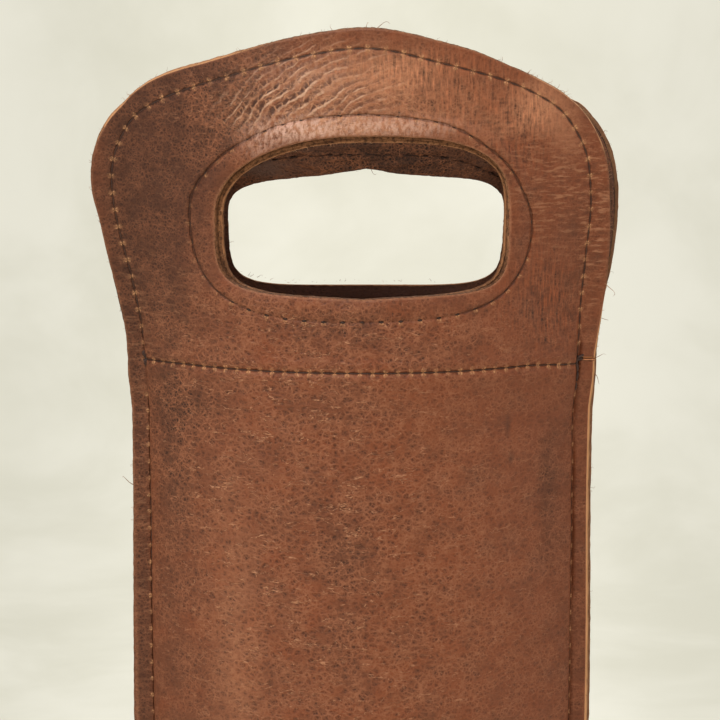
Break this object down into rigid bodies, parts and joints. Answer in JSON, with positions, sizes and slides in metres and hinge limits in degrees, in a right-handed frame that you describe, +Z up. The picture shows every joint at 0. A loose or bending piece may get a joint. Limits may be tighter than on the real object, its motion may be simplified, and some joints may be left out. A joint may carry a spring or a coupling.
{
  "type": "bottle carrier",
  "caption": "Leather carrier for one upright bottle: a sewn two-panel pouch on a foot, with two lined heads that have hand openings.",
  "frame": {"origin": "middle of the foot, on the surface that the carrier stands on", "axes": "+Z up through the bottle, +X to the right of someone facing the front panel, +Y to the rear"},
  "size_m": [0.1508, 0.0864, 0.381],
  "materials": {
    "panel_leather": "pebbled, waxed",
    "facing_leather": "pebbled, waxed",
    "base_leather": "smooth, waxed",
    "thread": "waxed thread"
  },
  "bodies": {
    "pouch": {"front_panel": "panel_leather", "rear_panel": "panel_leather", "front_bend": "panel_leather", "rear_bend": "panel_leather", "base": "base_leather", "left_side_stitching": "thread", "right_side_stitching": "thread", "base_stitching": "thread"},
    "front_handle": {"front_handle_panel": "panel_leather", "front_facing": "facing_leather", "front_edge_stitching": "thread", "front_opening_stitching": "thread", "front_cross_stitching": "thread"},
    "rear_handle": {"rear_handle_panel": "panel_leather", "rear_facing": "facing_leather", "rear_edge_stitching": "thread", "rear_opening_stitching": "thread", "rear_cross_stitching": "thread"}
  },
  "joints": [
    {"name": "front_handle_flex", "type": "hinge", "parent": "pouch", "child": "front_handle", "pos_m": [0, -0.0033, 0.281], "axis": [1, 0, 0], "range_deg": [0, 25], "stiffness_Nm_per_rad": 0.4, "deforming": ["front_bend"]},
    {"name": "rear_handle_flex", "type": "hinge", "parent": "pouch", "child": "rear_handle", "pos_m": [0, 0.0033, 0.281], "axis": [-1, 0, 0], "range_deg": [0, 25], "stiffness_Nm_per_rad": 0.4, "deforming": ["rear_bend"]}
  ]
}
